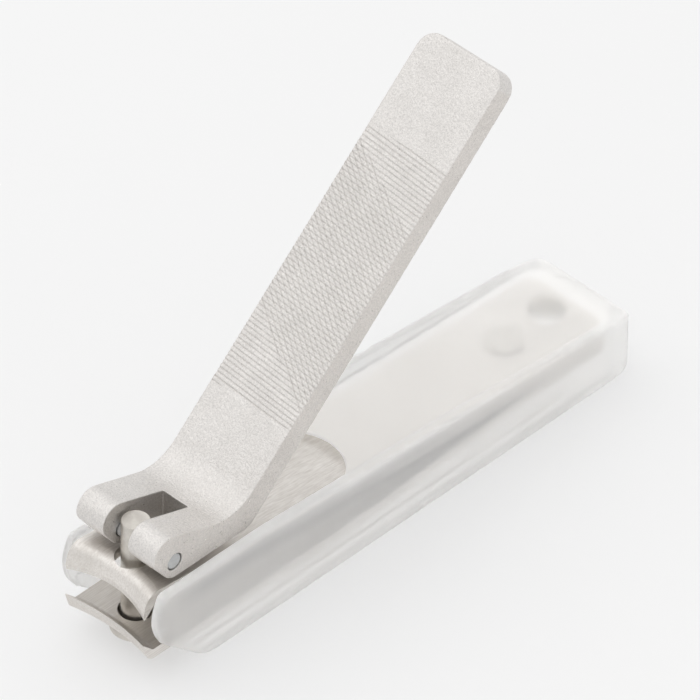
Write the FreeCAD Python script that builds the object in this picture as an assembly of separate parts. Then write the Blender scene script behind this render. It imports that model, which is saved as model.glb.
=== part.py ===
import FreeCAD, Part
import math
import os

os.makedirs("parts", exist_ok=True)

V = FreeCAD.Vector

# Lever nail clipper with a slide-on clippings catcher.  All lengths in mm.
# +X runs from the cutting edges to the closed rear end of the catcher, +Z is up and the
# catcher stands on z = 0.  Stations ("s") are measured along X from the lever pin.

PIN_X = -36.0            # the lever pin in the part frame
PIN_Z = 15.1
PIN_R = 1.0
PIN_HOLE_R = 1.05
LEVER_BORE_R = 1.09
PIN_HALF_LENGTH = 5.9

LEAF_HALF_WIDTH = 6.0
LEAF_T = 1.3
LEAF_TAIL = 68.4
TAIL_CORNER_R = 2.0
TAIL_HOLE_S = 64.8
TAIL_HOLE_R = 2.15
RIVET_S = 57.7
RIVET_R = 1.4
RIVET_HOLE_R = 1.75
RIVET_HEAD_R = 2.3

NOSE_S = 3.0             # where the shaped blade nose joins the plain leaf
EDGE_LAND = 0.12         # flat left along each cutting edge
UPPER_EDGE_S = -4.9
UPPER_EDGE_Z = 9.4
GROUND_FACET = 0.75      # height of the ground facet on the outside of the upper edge
UPPER_SLOPE = -0.105     # fall of the upper leaf near the blades, mm per mm
UPPER_Z_AT_PIN = 12.3
LOWER_EDGE_S = -4.85
LOWER_EDGE_Z = 5.8
LOWER_TOP_Z = 4.4

POST_R = 1.65
POST_TOP_Z = 17.4
POST_FLANGE_R = 2.9
POST_FLANGE_T = 0.9
POST_GAP = 0.05

LEVER_HALF_WIDTH = 6.0
LEVER_SLOT_HALF = 1.92
LEVER_SLOT_ROOT = 6.1
LEVER_TIP_R = 2.2
FILE_START = 12.5        # distance of the nail file from the lever tip
FILE_LENGTH = 32.6
FILE_PITCH = 0.54
FILE_DEPTH = 0.16
FILE_SKEW = 3.0          # degrees

CASE_HALF_WIDTH = 7.55
CASE_WALL = 1.2
CASE_FLOOR = 1.0
CASE_REAR = 72.6
CASE_REAR_R = 4.0
CASE_INNER_REAR = 70.2
NOTCH_S = 23.9
NOTCH_R = 6.1
POCKET_REAR = 68.9
POCKET_CORNER_R = 3.0
INNER_HALF = CASE_HALF_WIDTH - CASE_WALL


def pt(s, z, y=0.0):
    return V(PIN_X + s, y, z)


def rounded_wire(corners, y=0.0):
    """Closed wire in the XZ plane from (s, z, radius) corners."""
    count = len(corners)
    ends = []
    for i in range(count):
        s, z, r = corners[i]
        here = pt(s, z, y)
        if r == 0:
            ends.append((here, None, here))
            continue
        before = pt(corners[i - 1][0], corners[i - 1][1], y) - here
        after = pt(corners[(i + 1) % count][0], corners[(i + 1) % count][1], y) - here
        before.normalize()
        after.normalize()
        half = before.getAngle(after) / 2.0
        bisector = before + after
        bisector.normalize()
        centre = here + bisector * (r / math.sin(half))
        middle = centre - bisector * r
        reach = r / math.tan(half)
        ends.append((here + before * reach, middle, here + after * reach))
    edges = []
    for i in range(count):
        start, middle, end = ends[i]
        if middle is not None:
            edges.append(Part.Arc(start, middle, end).toShape())
        following = ends[(i + 1) % count][0]
        if end.distanceToPoint(following) > 1e-6:
            edges.append(Part.makeLine(end, following))
    return Part.Wire(edges)


def prism(wire, half_width):
    """Extrude a wire lying at y = 0 to both sides."""
    face = Part.Face(wire)
    face.translate(V(0, -half_width, 0))
    return face.extrude(V(0, 2 * half_width, 0))


def block(s0, s1, y0, y1, z0, z1):
    return Part.makeBox(s1 - s0, y1 - y0, z1 - z0, pt(s0, z0, y0))


def drill(s, radius, z0=-5.0, z1=30.0):
    return Part.makeCylinder(radius, z1 - z0, pt(s, z0))


def oblong_drill(s, half_width, half_length, z0, z1):
    straight = half_length - half_width
    middle = block(s - straight, s + straight, -half_width, half_width, z0, z1)
    return middle.fuse([drill(s - straight, half_width, z0, z1),
                        drill(s + straight, half_width, z0, z1)]).removeSplitter()


def leaf_body(stations, nose_top):
    """Plain leaf behind the nose: a bowed top line, a straight tail, a constant thickness."""
    bowed = Part.BSplineCurve()
    bowed.interpolate([pt(NOSE_S, nose_top)] + [pt(s, z) for s, z in stations[:-1]])
    (bend_s, bend_z), (tail_s, tail_z) = stations[-2:]
    lines = []
    for drop in (0.0, LEAF_T):
        curve = bowed.copy()
        curve.translate(V(0, 0, -drop))
        lines += [curve.toShape(), Part.makeLine(pt(bend_s, bend_z - drop), pt(tail_s, tail_z - drop))]
    front = Part.makeLine(pt(NOSE_S, nose_top), pt(NOSE_S, nose_top - LEAF_T))
    rear = Part.makeLine(pt(tail_s, tail_z - LEAF_T), pt(tail_s, tail_z))
    wire = Part.Wire([lines[0], lines[1], rear, lines[3], lines[2], front])
    body = prism(wire, LEAF_HALF_WIDTH)
    corners = []
    for edge in body.Edges:
        low, high = edge.Vertexes[0].Point, edge.Vertexes[-1].Point
        upright = abs(low.z - high.z) > LEAF_T / 2 and abs(low.x - high.x) < 1e-6
        if upright and abs(low.x - (PIN_X + tail_s)) < 1e-6:
            corners.append(edge)
    return body.makeFillet(TAIL_CORNER_R, corners)


def nose_loft(section, recess, arch):
    """Blade nose lofted over the width; the edge is hollow in plan by `recess`."""
    wires = []
    for step in range(-4, 5):
        y = LEAF_HALF_WIDTH * step / 4.0
        bow = 1.0 - (y / LEAF_HALF_WIDTH) ** 2
        wires.append(rounded_wire(section(recess * bow, arch * bow), y))
    return Part.makeLoft(wires, True, False)


def upper_section(back, lift):
    top_front = UPPER_EDGE_S + 0.7 + back
    bevel_s = UPPER_EDGE_S + 0.22 + EDGE_LAND + back
    edge_z = UPPER_EDGE_Z + lift
    under = UPPER_Z_AT_PIN - LEAF_T
    bevel_top = (under - edge_z + bevel_s) / (1.0 - UPPER_SLOPE)
    return [(NOSE_S, UPPER_Z_AT_PIN + UPPER_SLOPE * NOSE_S, 0),
            (top_front, UPPER_Z_AT_PIN + UPPER_SLOPE * top_front, 1.9),
            (UPPER_EDGE_S + 0.12 + back, edge_z + GROUND_FACET, 0),
            (UPPER_EDGE_S + 0.22 + back, edge_z, 0),
            (bevel_s, edge_z, 0),
            (bevel_top, under + UPPER_SLOPE * bevel_top, 0.5),
            (NOSE_S, under + UPPER_SLOPE * NOSE_S, 0)]


def lower_section(back, lift):
    bevel_s = LOWER_EDGE_S + EDGE_LAND + back
    edge_z = LOWER_EDGE_Z + lift
    bevel_foot = bevel_s + edge_z - LOWER_TOP_Z
    return [(NOSE_S, LOWER_TOP_Z, 0),
            (bevel_foot, LOWER_TOP_Z, 0.6),
            (bevel_s, edge_z, 0),
            (LOWER_EDGE_S + back, edge_z, 0),
            (LOWER_EDGE_S + 0.75 + back, LOWER_TOP_Z - LEAF_T, 1.5),
            (NOSE_S, LOWER_TOP_Z - LEAF_T, 0)]


# --- upper leaf with its blade -------------------------------------------------------
upper_line = [(10, 11.25), (20, 10.15), (30, 9.1), (40, 8.28), (50, 7.68), (RIVET_S, 7.3), (LEAF_TAIL, 7.0)]
upper = leaf_body(upper_line, UPPER_Z_AT_PIN + UPPER_SLOPE * NOSE_S)
upper = upper.fuse(nose_loft(upper_section, 1.3, 0.45)).removeSplitter()
upper = upper.cut([oblong_drill(0.0, 2.0, 2.5, 8.0, 15.0),
                   drill(RIVET_S, RIVET_HOLE_R, 5.5, 9.0),
                   drill(TAIL_HOLE_S, TAIL_HOLE_R, 5.0, 9.0)])

# --- lower leaf with its blade -------------------------------------------------------
lower_line = [(14, 4.4), (27, 4.42), (36, 4.72), (43, 5.12), (50, 5.55), (RIVET_S, 5.96), (LEAF_TAIL, 5.66)]
lower = leaf_body(lower_line, LOWER_TOP_Z)
lower = lower.fuse(nose_loft(lower_section, 0.75, -0.1)).removeSplitter()
lower = lower.cut([drill(0.0, 2.0, 2.0, 6.0),
                   drill(RIVET_S, RIVET_R, 3.0, 8.0),
                   drill(TAIL_HOLE_S, TAIL_HOLE_R, 3.0, 8.0)])

# --- rear rivet: pressed in the lower leaf, loose in the upper ------------------------
rivet_bottom = 5.96 - LEAF_T - 0.07
rivet_seat = 7.3 + 0.17
rivet = drill(RIVET_S, RIVET_R, rivet_bottom, rivet_seat + 0.1)
rivet_head = drill(RIVET_S, RIVET_HEAD_R, rivet_seat, rivet_seat + 0.34)
rivet_foot = drill(RIVET_S, RIVET_HEAD_R, rivet_bottom - 0.4, rivet_bottom)
rivet_head = rivet_head.makeFillet(0.2, [e for e in rivet_head.Edges if e.BoundBox.ZMin > rivet_seat + 0.3])
rivet = rivet.fuse([rivet_head, rivet_foot]).removeSplitter()

# --- lever post with a turned flange under the lower leaf -----------------------------
flange_top = LOWER_TOP_Z - LEAF_T - POST_GAP
post = drill(0.0, POST_R, flange_top - POST_FLANGE_T, POST_TOP_Z)
post = post.fuse(drill(0.0, POST_FLANGE_R, flange_top - POST_FLANGE_T, flange_top)).removeSplitter()
post = post.makeChamfer(0.08, [e for e in post.Edges if e.BoundBox.ZMin > POST_TOP_Z - 0.01])
pin_bore = Part.makeCylinder(PIN_HOLE_R, 20.0, pt(0.0, PIN_Z, -10.0), V(0, 1, 0))
post = post.cut(pin_bore)

# --- lever pin ------------------------------------------------------------------------
pin = Part.makeCylinder(PIN_R, 2 * PIN_HALF_LENGTH, pt(0.0, PIN_Z, -PIN_HALF_LENGTH), V(0, 1, 0))
pin = pin.makeChamfer(0.12, [e for e in pin.Edges if e.BoundBox.YLength < 0.01])

# --- lever: cast arm, cranked over the post, forked at the pin ------------------------
tip_top = (50.85, 53.6)
tip_bottom = (52.8, 51.5)
lever_profile = [(tip_top[0], tip_top[1], 0.35),
                 (9.48, 15.53, 5.8),
                 (-6.67, 20.98, 2.15),
                 (-0.86, 12.93, 2.15),
                 (11.51, 12.93, 2.5),
                 (tip_bottom[0], tip_bottom[1], 0.35)]
lever = prism(rounded_wire(lever_profile), LEVER_HALF_WIDTH)
end_axis = pt(tip_bottom[0] - tip_top[0], tip_bottom[1] - tip_top[1]) - pt(0, 0)
end_axis.normalize()
across = V(end_axis.z * -1, 0, end_axis.x)     # along the arm, towards the tip
for side in (-1, 1):
    corner = pt(tip_top[0], tip_top[1], side * LEVER_HALF_WIDTH) - end_axis * 3.0
    square = Part.makePolygon([corner + V(0, side * 1.0, 0) + across * 1.0,
                               corner + V(0, side * 1.0, 0) - across * LEVER_TIP_R,
                               corner - V(0, side * LEVER_TIP_R, 0) - across * LEVER_TIP_R,
                               corner - V(0, side * LEVER_TIP_R, 0) + across * 1.0,
                               corner + V(0, side * 1.0, 0) + across * 1.0])
    waste = Part.Face(square).extrude(end_axis * 10.0)
    heart = corner - V(0, side * LEVER_TIP_R, 0) - across * LEVER_TIP_R
    waste = waste.cut(Part.makeCylinder(LEVER_TIP_R, 12.0, heart - end_axis, end_axis))
    lever = lever.cut(waste)
lever = lever.cut(block(-6.0, LEVER_SLOT_ROOT, -LEVER_SLOT_HALF, LEVER_SLOT_HALF, 8.0, 24.0))
lever = lever.cut(Part.makeCylinder(LEVER_BORE_R, 20.0, pt(0.0, PIN_Z, -10.0), V(0, 1, 0)))

# nail file: V grooves across the top of the arm, slightly skewed
arm = V(tip_top[0] - 9.48, 0, tip_top[1] - 15.53)
arm.normalize()
arm_up = V(-arm.z, 0, arm.x)
skew = math.tan(math.radians(FILE_SKEW))
grooves = []
for k in range(int(FILE_LENGTH / FILE_PITCH)):
    root = pt(tip_top[0], tip_top[1]) - arm * (FILE_START + k * FILE_PITCH)
    left = root + V(0, LEVER_HALF_WIDTH + 0.5, 0) + arm * (skew * LEVER_HALF_WIDTH)
    span = V(0, -2 * (LEVER_HALF_WIDTH + 0.5), 0) - arm * (2 * skew * LEVER_HALF_WIDTH)
    half = FILE_PITCH * 0.36
    rise = 0.1
    vee = Part.makePolygon([left + arm_up * rise - arm * half, left + arm_up * rise + arm * half,
                            left - arm_up * FILE_DEPTH, left + arm_up * rise - arm * half])
    grooves.append(Part.Face(vee).extrude(span))
lever = lever.cut(grooves)

# --- clippings catcher ------------------------------------------------------------------
case_profile = [(3.4, 0.0, 4.5),
                (-5.2, 7.6, 5.5),
                (-3.1, 12.65, 0.7),
                (13.0, 12.65, 60.0),
                (43.0, 10.85, 200.0),
                (65.0, 8.74, 60.0),
                (71.5, 7.72, 1.7),
                (71.9, 5.7, 0.3),
                (CASE_REAR, 5.1, 0.3),
                (CASE_REAR, 0.0, 0.8)]
case = prism(rounded_wire(case_profile), CASE_HALF_WIDTH)


def plan_prism(s0, s1, half, radius, z0, z1):
    """Upright block with its two rear corners rounded in plan."""
    body = block(s0, s1, -half, half, z0, z1)
    rear = []
    for edge in body.Edges:
        at = edge.CenterOfMass
        if abs(at.x - (PIN_X + s1)) < 1e-6 and edge.BoundBox.ZLength > 1.0:
            rear.append(edge)
    return body.makeFillet(radius, rear)


case = case.common(plan_prism(-10.0, CASE_REAR, CASE_HALF_WIDTH, CASE_REAR_R, -1.0, 20.0))


def underside(s):
    return 9.85 - 0.0472 * (s - 24.0)


def plate_top(s):
    return 10.1 - 0.0478 * (s - 30.0)


chamber = prism(rounded_wire([(-9.0, CASE_FLOOR, 0), (CASE_INNER_REAR, CASE_FLOOR, 0.8),
                              (CASE_INNER_REAR, underside(CASE_INNER_REAR), 0.4),
                              (20.0, underside(20.0), 0), (-9.0, underside(-9.0), 0)]), INNER_HALF)
chamber = chamber.common(plan_prism(-10.0, CASE_INNER_REAR, INNER_HALF, CASE_REAR_R - CASE_WALL, -1.0, 20.0))
mouth = block(-9.0, NOTCH_S, -INNER_HALF, INNER_HALF, 5.0, 20.0)
notch = drill(NOTCH_S, NOTCH_R, 5.0, 20.0)
pocket = prism(rounded_wire([(NOTCH_S - 1.0, plate_top(NOTCH_S - 1.0), 0), (POCKET_REAR, plate_top(POCKET_REAR), 0),
                             (POCKET_REAR, 20.0, 0), (NOTCH_S - 1.0, 20.0, 0)]), INNER_HALF)
pocket = pocket.common(plan_prism(-10.0, POCKET_REAR, INNER_HALF, POCKET_CORNER_R, -1.0, 21.0))
for hollow in (chamber, mouth, pocket, notch):
    case = case.cut(hollow)

# rails carrying the lower leaf, small front stops and the snap boss in the tail hole
extras = []
for side in (-1, 1):
    wall = side * (INNER_HALF + 0.4)
    rail = sorted((wall, side * 5.2))
    nub = sorted((wall, side * 6.12))
    extras.append(block(0.6, 60.0, rail[0], rail[1], 2.0, 3.0))
    extras.append(block(-2.9, -1.9, nub[0], nub[1], 5.4, 7.2))
boss_z = underside(TAIL_HOLE_S)
extras.append(drill(TAIL_HOLE_S, 1.5, boss_z - 0.35, boss_z + 0.2))
case = case.fuse(extras).removeSplitter()

pieces = {"upper_blade": upper, "lower_blade": lower, "rear_rivet": rivet, "post": post,
          "lever_pin": pin, "lever": lever, "case": case}
for name, shape in pieces.items():
    if shape.ShapeType != "Solid":
        solids = shape.Solids
        if len(solids) != 1:
            raise ValueError(name + " is not one solid")
        shape = solids[0]
    if not shape.isValid():
        raise ValueError(name + " is not valid")
    shape.exportStep(os.path.join("parts", name + ".step"))
    box = shape.BoundBox
    print(name, round(shape.Volume, 2), [round(v, 2) for v in (box.XMin, box.YMin, box.ZMin, box.XMax, box.YMax, box.ZMax)])
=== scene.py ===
import math

import bpy
import numpy as np
from mathutils import Matrix, Vector


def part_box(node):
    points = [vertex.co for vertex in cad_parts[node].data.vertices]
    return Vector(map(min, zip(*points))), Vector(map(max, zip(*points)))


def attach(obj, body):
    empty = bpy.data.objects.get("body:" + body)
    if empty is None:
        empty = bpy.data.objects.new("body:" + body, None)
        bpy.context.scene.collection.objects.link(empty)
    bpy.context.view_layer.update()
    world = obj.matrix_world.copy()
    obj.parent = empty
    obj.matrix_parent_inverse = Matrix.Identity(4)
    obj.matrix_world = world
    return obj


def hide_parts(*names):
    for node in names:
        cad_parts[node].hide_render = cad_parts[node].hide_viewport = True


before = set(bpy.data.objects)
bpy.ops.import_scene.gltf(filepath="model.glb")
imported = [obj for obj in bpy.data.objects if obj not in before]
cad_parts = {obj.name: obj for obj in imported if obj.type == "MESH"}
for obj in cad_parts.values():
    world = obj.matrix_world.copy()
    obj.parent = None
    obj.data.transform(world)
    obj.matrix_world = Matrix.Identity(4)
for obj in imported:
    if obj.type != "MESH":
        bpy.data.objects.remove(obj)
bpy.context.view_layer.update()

scene = bpy.context.scene
scene.view_settings.view_transform = "Standard"

# Lengths named below are in millimetres, texture scales and bump distances in the scene's metres.
MM = 0.001
PIN_X = -36.0                   # lever pin, from the frame's origin

# lever: line of the arm's top face, from the crank to the tip
ARM_BEND = (PIN_X + 9.48, 15.53)
ARM_TIP = (PIN_X + 50.85, 53.6)
LEVER_VOXEL = 0.08
LEVER_PASSES = 3

# file on the arm, measured down from the tip
FLAT_START = 12.2
FLAT_END = 45.4
FLAT_HALF_WIDTH = 5.97
FLAT_SINK = 0.012               # the flat lies this far under the face
FLAT_REACH = 0.26               # points less than this under the face are moved to the flat
CUT_START = 12.4
CUT_END = 45.2
CUT_DATUM = 12.5
CUT_DEPTH = 0.11
CUT_PITCH = 0.54
CUT_HALF_WIDTH = 0.12
CUT_SKEW = math.radians(3.0)
CROSS_START = 14.1
CROSS_END = 35.2
CROSS_PITCH = 0.58
CROSS_HALF_WIDTH = 0.13
CROSS_LEAN = math.radians(37.0)
CROSS_START_SLOPE = 0.55
CROSS_END_SLOPE = 0.66
LEVER_HALF_WIDTH = 6.0
# painted shade in the file's cuts, along each cut and more where two cuts cross
LINE_SHADE = 0.32
CROSSING_SHADE = 1.1
# side faces of the arm, which get painted shade above SIDE_LOWEST
SIDE_FACE = 5.93
SIDE_BLEND = 0.06
SIDE_LOWEST = 12.0

# case: rim height along the length, and the bands painted on its walls: painted shade under the rim, less
# painted glow lower down
CASE_VOXEL = 0.14
CASE_PASSES = 12
EDGE_BAND = 0.9
EDGE_PASSES = 44
REAR_CLEAR = 2.2
CORNER_BAND = 4.5
CORNER_INNER = 4.0
CORNER_PASSES = 30
RIM_X = (-39.0, -23.0, 7.0, 29.0, 35.5)
RIM_Z = (12.65, 12.65, 10.85, 8.74, 7.72)
WALL_BAND = 0.7
WALL_START = 0.3                # down from the rim, as are the next four
WALL_EASE = 0.6
SHADE_START = 0.5
SHADE_EASE = 0.7
SHADE_END = 4.0
SHADE_FADE = 2.0                # how far above its end the shade begins to fade
SHADE_FRONT = -38.0
SHADE_FRONT_EASE = 5.0
SHADE_REAR = 26.0
SHADE_REAR_FADE = 26.0

# painted shade: a dark round spot on top of the case near its closed end, above the hole through the leaf
# tails
SPOT_X = 28.8
SPOT_Z = 8.44
SPOT_R = 2.2
SPOT_SOFT_IN = 0.2
SPOT_SOFT_OUT = 0.3
SPOT_SQUASH = 0.4               # less than 1 lets the spot reach through the skin


# --- materials ---------------------------------------------------------------------------
class Mat:
    """Small helper for building a node material."""

    def __init__(self, name):
        self.m = bpy.data.materials.new(name)
        self.m.use_nodes = True
        self.t = self.m.node_tree
        self.p = self.t.nodes["Principled BSDF"]
        self.co = self.t.nodes.new("ShaderNodeTexCoord").outputs["Object"]

    def node(self, kind, **values):
        """New node; each value goes to the socket of that name, or else to the setting."""
        n = self.t.nodes.new(kind)
        for key, value in values.items():
            if key in n.inputs:
                n.inputs[key].default_value = value
            else:
                setattr(n, key, value)
        return n

    def link(self, a, b):
        self.t.links.new(a, b)

    def mapped(self, scale):
        n = self.t.nodes.new("ShaderNodeMapping")
        n.inputs["Scale"].default_value = scale
        self.link(self.co, n.inputs["Vector"])
        return n.outputs["Vector"]

    def noise(self, scale, detail=3.0, rough=0.55, vector=None):
        n = self.node("ShaderNodeTexNoise", Scale=scale, Detail=detail, Roughness=rough)
        self.link(vector or self.co, n.inputs["Vector"])
        return n.outputs["Fac"]

    def attribute(self, name):
        return self.node("ShaderNodeAttribute", attribute_name=name).outputs["Fac"]

    def ramp(self, fac, *stops):
        """Colour ramp from (position, colour) pairs."""
        n = self.t.nodes.new("ShaderNodeValToRGB")
        elements = n.color_ramp.elements
        while len(elements) < len(stops):
            elements.new(0.5)
        for element, (at, colour) in zip(elements, stops):
            element.position = at
            element.color = (*colour, 1.0)
        self.link(fac, n.inputs["Fac"])
        return n.outputs["Color"]

    def span(self, value, out_low, out_high, in_low=0.0, in_high=1.0):
        """Map a value from the in range to the out range, clamped."""
        n = self.t.nodes.new("ShaderNodeMapRange")
        n.inputs["From Min"].default_value = in_low
        n.inputs["From Max"].default_value = in_high
        n.inputs["To Min"].default_value = out_low
        n.inputs["To Max"].default_value = out_high
        self.link(value, n.inputs["Value"])
        return n.outputs["Result"]

    def mix(self, fac, a, b, blend="MIX"):
        n = self.t.nodes.new("ShaderNodeMix")
        n.data_type = "RGBA"
        n.blend_type = blend
        if isinstance(fac, float):
            n.inputs[0].default_value = fac
        else:
            self.link(fac, n.inputs[0])
        for value, at in ((a, 6), (b, 7)):
            if isinstance(value, tuple):
                n.inputs[at].default_value = (*value, 1.0)
            else:
                self.link(value, n.inputs[at])
        return n.outputs[2]

    def tinted(self, fac, colour, tint):
        """The colour multiplied by a tint where the factor is one."""
        return self.mix(fac, colour, self.mix(1.0, colour, tint, "MULTIPLY"))

    def bump(self, height, strength, distance, normal=None):
        n = self.node("ShaderNodeBump", Strength=strength, Distance=distance)
        self.link(height, n.inputs["Height"])
        if normal is not None:
            self.link(normal, n.inputs["Normal"])
        return n.outputs["Normal"]

    def set(self, **sockets):
        """Set or link Principled sockets; an underscore stands for a space."""
        for key, value in sockets.items():
            socket = self.p.inputs[key.replace("_", " ")]
            if hasattr(value, "is_linked"):
                self.link(value, socket)
            else:
                socket.default_value = value


def cast_steel():
    """Satin nickel on a finely blasted casting: sparkling grain, painted shade in the file's cuts and on
    the side faces.
    """
    m = Mat("cast_steel")
    patches = m.noise(260.0, 4.0)
    colour = m.ramp(patches, (0.3, (0.74, 0.715, 0.69)), (0.7, (0.79, 0.765, 0.74)))
    grain = m.noise(5200.0, 2.0, 0.6)
    spark = m.ramp(grain, (0.3, (0.80, 0.80, 0.80)), (0.5, (0.98, 0.98, 0.98)), (0.7, (1.15, 1.15, 1.15)))
    colour = m.mix(0.7, colour, spark, "MULTIPLY")
    rough = m.span(m.noise(2600.0, 4.0), 0.26, 0.5, 0.3, 0.7)
    normal = m.bump(m.noise(3400.0, 5.0, 0.7), 0.9, 0.00014)
    normal = m.bump(m.noise(1300.0, 3.0), 0.4, 0.00014, normal)
    # painted shade in the file's cuts
    colour = m.tinted(m.attribute("cut"), colour, (0.74, 0.725, 0.71))
    # painted shade on the lever's side faces
    colour = m.tinted(m.attribute("side"), colour, (0.96, 0.945, 0.93))
    m.set(Base_Color=colour, Metallic=1.0, Roughness=rough, Normal=normal)
    return m.m


def leaf_steel():
    """Brushed spring steel: fine lines along the leaf, faint tarnish."""
    m = Mat("leaf_steel")
    lines = m.noise(1.0, 4.0, 0.6, m.mapped((240.0, 5200.0, 5200.0)))
    patches = m.noise(220.0, 4.0)
    colour = m.ramp(patches, (0.3, (0.72, 0.69, 0.65)), (0.7, (0.84, 0.81, 0.775)))
    rough = m.span(lines, 0.32, 0.5, 0.3, 0.7)
    colour = m.mix(m.span(lines, 0.0, 0.6, 0.35, 0.7), colour, (0.60, 0.56, 0.52))
    normal = m.bump(lines, 0.5, 0.00006)
    normal = m.bump(m.noise(1800.0, 4.0), 0.4, 0.00006, normal)
    m.set(Base_Color=colour, Metallic=1.0, Roughness=rough, Normal=normal)
    return m.m


def turned_steel(name, tint):
    """Turned rod: mottled."""
    m = Mat(name)
    patches = m.noise(900.0, 4.0)
    colour = m.ramp(patches, (0.3, (0.55, 0.52, 0.48)), (0.7, (0.68, 0.65, 0.60)))
    colour = m.mix(1.0, colour, tint, "MULTIPLY")
    rough = m.span(m.noise(4200.0, 3.0), 0.26, 0.5, 0.3, 0.7)
    normal = m.bump(m.noise(5200.0, 4.0), 0.4, 0.00003)
    m.set(Base_Color=colour, Metallic=1.0, Roughness=rough, Normal=normal)
    return m.m


def round_spot(m):
    """One inside the round spot of painted shade on top of the case, zero outside it."""
    flat = m.node("ShaderNodeVectorMath", operation="MULTIPLY")
    m.link(m.co, flat.inputs[0])
    flat.inputs[1].default_value = (1.0, 1.0, SPOT_SQUASH)
    apart = m.node("ShaderNodeVectorMath", operation="DISTANCE")
    m.link(flat.outputs[0], apart.inputs[0])
    apart.inputs[1].default_value = (SPOT_X * MM, 0.0, SPOT_Z * MM * SPOT_SQUASH)
    near, far = (SPOT_R - SPOT_SOFT_IN) * MM, (SPOT_R + SPOT_SOFT_OUT) * MM
    return m.span(apart.outputs["Value"], 1.0, 0.0, near, far)


def frosted_plastic():
    """Translucent polypropylene with a fine frosted moulding texture."""
    m = Mat("frosted_plastic")
    colour = m.ramp(m.noise(90.0, 4.0), (0.3, (0.97, 0.967, 0.96)), (0.7, (0.99, 0.988, 0.983)))
    rough = m.span(m.noise(1400.0, 3.0), 0.33, 0.42, 0.3, 0.7)
    normal = m.bump(m.noise(3200.0, 4.0, 0.65), 0.22, 0.00004)
    normal = m.bump(m.noise(240.0, 2.0), 0.06, 0.0002, normal)
    # painted shade: the dark round spot near the closed end
    colour = m.tinted(round_spot(m), colour, (0.88, 0.88, 0.875))
    # painted shade: a dim band under the rim, for the shaded gap between wall and leaves
    colour = m.tinted(m.attribute("shade"), colour, (0.80, 0.81, 0.825))
    # a faint glow for light scattered in the plastic, less on the side walls
    glow = m.span(m.attribute("wall"), 0.085, 0.01)
    m.set(Base_Color=colour, Roughness=rough, Normal=normal, Emission_Strength=glow,
          Emission_Color=(1.0, 0.98, 0.96, 1.0), IOR=1.38, Transmission_Weight=0.78,
          Specular_IOR_Level=0.4)
    return m.m


def floor_paper():
    """Paper on a lit table: it glows a little, so the shadows stay light."""
    m = Mat("pale_floor")
    colour = m.ramp(m.noise(6.0, 3.0), (0.3, (0.47, 0.47, 0.47)), (0.7, (0.49, 0.49, 0.49)))
    m.set(Base_Color=colour, Roughness=0.8, Emission_Color=(1.0, 1.0, 1.0, 1.0),
          Emission_Strength=0.435, Specular_IOR_Level=0.1)
    return m.m


# --- detailed pieces ------------------------------------------------------------------------
def remeshed(node, name, voxel, passes):
    """Copy of a CAD node in millimetres, with evenly spaced faces and softly rounded edges."""
    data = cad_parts[node].data.copy()
    data.transform(Matrix.Scale(1 / MM, 4))
    data.materials.clear()
    work = bpy.data.objects.new(name, data)
    scene.collection.objects.link(work)
    grid = work.modifiers.new("grid", "REMESH")
    grid.mode = "VOXEL"
    grid.voxel_size = voxel
    bake_modifiers(work)
    soften(work, passes, range(len(work.data.vertices)))
    return work


def bake_modifiers(work):
    """Apply the modifiers to the piece's own mesh."""
    shaped = work.evaluated_get(bpy.context.evaluated_depsgraph_get())
    done = bpy.data.meshes.new_from_object(shaped)
    work.modifiers.clear()
    work.data = done


def soften(work, passes, chosen):
    """Round the edges among the chosen points."""
    group = work.vertex_groups.new(name="soft")
    group.add([int(i) for i in chosen], 1.0, "REPLACE")
    soft = work.modifiers.new("soft", "SMOOTH")
    soft.factor = 0.5
    soft.iterations = passes
    soft.vertex_group = "soft"
    bake_modifiers(work)
    work.vertex_groups.clear()


def points_of(work):
    flat = np.empty(len(work.data.vertices) * 3, dtype=np.float64)
    work.data.vertices.foreach_get("co", flat)
    return flat.reshape(-1, 3)


def store(work, name, values):
    """Keep a value per point, for the material to read."""
    attribute = work.data.attributes.new(name, "FLOAT", "POINT")
    attribute.data.foreach_set("value", values.astype(np.float32))


def finish_piece(work, points, node, body, look):
    """Write the points back in metres and give the piece its body, slot and material."""
    work.data.vertices.foreach_set("co", (points * MM).ravel())
    work.data.update()
    work.data.materials.append(look)
    work.data.polygons.foreach_set("use_smooth", [True] * len(work.data.polygons))
    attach(work, body)
    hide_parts(node)


def ease(value, start, length):
    """Zero before the start, one from start plus length on, a straight line between."""
    return np.clip((value - start) / length, 0.0, 1.0)


def grooves(place, pitch, half_width):
    """Depth of V grooves, one at every pitch along the place."""
    away = np.abs((place / pitch + 0.5) % 1.0 - 0.5) * pitch
    return CUT_DEPTH * np.clip(1.0 - away / half_width, 0.0, 1.0)


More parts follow.
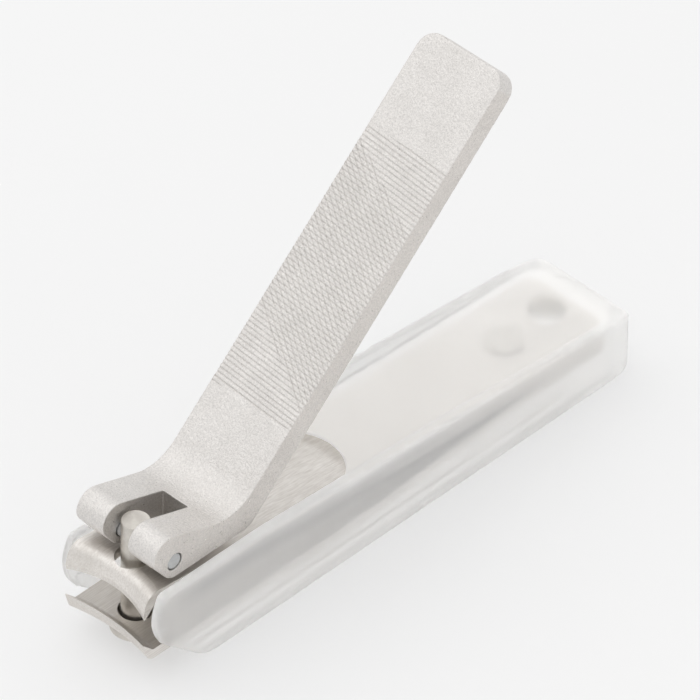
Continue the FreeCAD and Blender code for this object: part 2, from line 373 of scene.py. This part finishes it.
def make_lever():
    """Lever with the crossed file cut into the top of its arm."""
    tip = np.array([ARM_TIP[0], 0.0, ARM_TIP[1]])
    bend = np.array([ARM_BEND[0], 0.0, ARM_BEND[1]])
    along = (tip - bend) / np.linalg.norm(tip - bend)
    up = np.array([-along[2], 0.0, along[0]])
    work = remeshed("lever", "lever_detailed", LEVER_VOXEL, LEVER_PASSES)
    p = points_of(work)
    down = -(p - tip) @ along
    high = (p - tip) @ up
    across = p[:, 1]
    flat = (high > -FLAT_REACH) & (np.abs(across) < FLAT_HALF_WIDTH)
    flat &= (down > FLAT_START) & (down < FLAT_END)

    first = grooves(down - CUT_DATUM + across * math.tan(CUT_SKEW), CUT_PITCH, CUT_HALF_WIDTH)
    first[(down < CUT_START) | (down > CUT_END)] = 0.0
    slanted = (down + across * math.tan(CROSS_LEAN)) * math.cos(CROSS_LEAN)
    second = grooves(slanted, CROSS_PITCH, CROSS_HALF_WIDTH)
    inward = LEVER_HALF_WIDTH - across
    crossed = down > CROSS_START + inward * CROSS_START_SLOPE
    crossed &= down < CROSS_END + inward * CROSS_END_SLOPE
    second[~crossed] = 0.0

    depth = np.maximum(first, second)
    # painted shade: darker with the depth of the cut, and most where the two cuts cross
    cut_shade = LINE_SHADE * depth / CUT_DEPTH + CROSSING_SHADE * first * second / CUT_DEPTH ** 2
    p[flat] += up[None, :] * (-FLAT_SINK - depth - high)[flat][:, None]
    store(work, "cut", np.where(flat, np.clip(cut_shade, 0.0, 1.0), 0.0))
    # painted shade on the side faces, only above SIDE_LOWEST
    store(work, "side", ease(np.abs(across), SIDE_FACE, SIDE_BLEND) * (p[:, 2] > SIDE_LOWEST))
    finish_piece(work, p, "lever", "lever", cast_steel())


def make_case():
    """Catcher with the soft edges of a moulding."""
    work = remeshed("case", "case_moulding", CASE_VOXEL, CASE_PASSES)
    _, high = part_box("case")
    rear, half_width = high[0] / MM, high[1] / MM
    p = points_of(work)
    sides = np.abs(p[:, 1]) > half_width - EDGE_BAND
    soften(work, EDGE_PASSES, np.nonzero(sides & (p[:, 0] < rear - REAR_CLEAR))[0])
    corners = (np.abs(p[:, 1]) > CORNER_INNER) & (p[:, 0] > rear - CORNER_BAND)
    soften(work, CORNER_PASSES, np.nonzero(corners)[0])

    p = points_of(work)
    below = np.interp(p[:, 0], RIM_X, RIM_Z) - p[:, 2]
    wall = np.abs(p[:, 1]) > half_width - WALL_BAND
    band = ease(below, SHADE_START, SHADE_EASE) * ease(-below, -SHADE_END, SHADE_FADE)
    ends = ease(p[:, 0], SHADE_FRONT, SHADE_FRONT_EASE) * ease(-p[:, 0], -SHADE_REAR, SHADE_REAR_FADE)
    # less painted glow on the outer walls below the rim
    store(work, "wall", wall * ease(below, WALL_START, WALL_EASE))
    # painted shade band under the rim, on the outer walls only
    store(work, "shade", band * ends * wall)
    finish_piece(work, p, "case", "case", frosted_plastic())


make_lever()
make_case()

leaf = leaf_steel()
rod = turned_steel("turned_steel", (1.0, 1.0, 1.0))
pin = turned_steel("pin_steel", (0.86, 0.92, 1.0))
LOOKS = {"upper_blade": leaf, "lower_blade": leaf, "rear_rivet": rod, "post": rod, "lever_pin": pin}
for name, look in LOOKS.items():
    for mat_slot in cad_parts[name].material_slots:
        mat_slot.material = look

# --- floor, light, camera -----------------------------------------------------------------
FLOOR_SIZE = 4.0
FLOOR_DROP = 0.00002            # just under the case, so the two faces don't flicker
WORLD_STRENGTH = 0.86

bpy.ops.mesh.primitive_plane_add(size=FLOOR_SIZE, location=(0, 0, -FLOOR_DROP))
floor = bpy.context.object
floor.name = "floor"
floor.data.materials.append(floor_paper())

world = bpy.data.worlds.new("studio")
scene.world = world
world.use_nodes = True
background = world.node_tree.nodes["Background"]
background.inputs["Color"].default_value = (1.0, 1.0, 1.0, 1.0)
background.inputs["Strength"].default_value = WORLD_STRENGTH


def soft_sun(name, direction, strength, spread):
    """Very broad light from one side, so shadows stay soft; spread in degrees."""
    light = bpy.data.lights.new(name, "SUN")
    light.energy = strength
    light.angle = math.radians(spread)
    sun = bpy.data.objects.new(name, light)
    scene.collection.objects.link(sun)
    sun.rotation_euler = Vector(direction).to_track_quat("Z", "Y").to_euler()


soft_sun("key", (-0.1, 0.6, 1.0), 0.55, 75.0)

CAMERA_AZIMUTH = math.radians(46.31)
CAMERA_ELEVATION = math.radians(41.06)
CAMERA_ROLL = math.radians(0.93)
CAMERA_DISTANCE = 1398.4281
CAMERA_RIGHT = 23.40618         # shift of the camera from where it would face the pin's foot
CAMERA_UP = 31.50016
CAMERA_SENSOR = 36.0
CAMERA_LENS = 658.85143


def photo_camera():
    """Long lens looking along the object from its front, well above."""
    azimuth, elevation = CAMERA_AZIMUTH, CAMERA_ELEVATION
    right = Vector((math.cos(azimuth), -math.sin(azimuth), 0))
    level = Vector((math.sin(azimuth), math.cos(azimuth), 0))
    look = level * math.cos(elevation) - Vector((0, 0, math.sin(elevation)))
    up = right.cross(look)
    c, s = math.cos(CAMERA_ROLL), math.sin(CAMERA_ROLL)
    right, up = right * c + up * s, up * c - right * s
    place = right * CAMERA_RIGHT + up * CAMERA_UP - look * CAMERA_DISTANCE + Vector((PIN_X, 0, 0))
    data = bpy.data.cameras.new("camera")
    data.sensor_width = CAMERA_SENSOR
    data.lens = CAMERA_LENS
    data.clip_start, data.clip_end = 0.05, 10.0
    camera = bpy.data.objects.new("camera", data)
    scene.collection.objects.link(camera)
    turn = Matrix((right, up, -look)).transposed()
    camera.matrix_world = Matrix.Translation(place * MM) @ turn.to_4x4()
    scene.camera = camera


photo_camera()
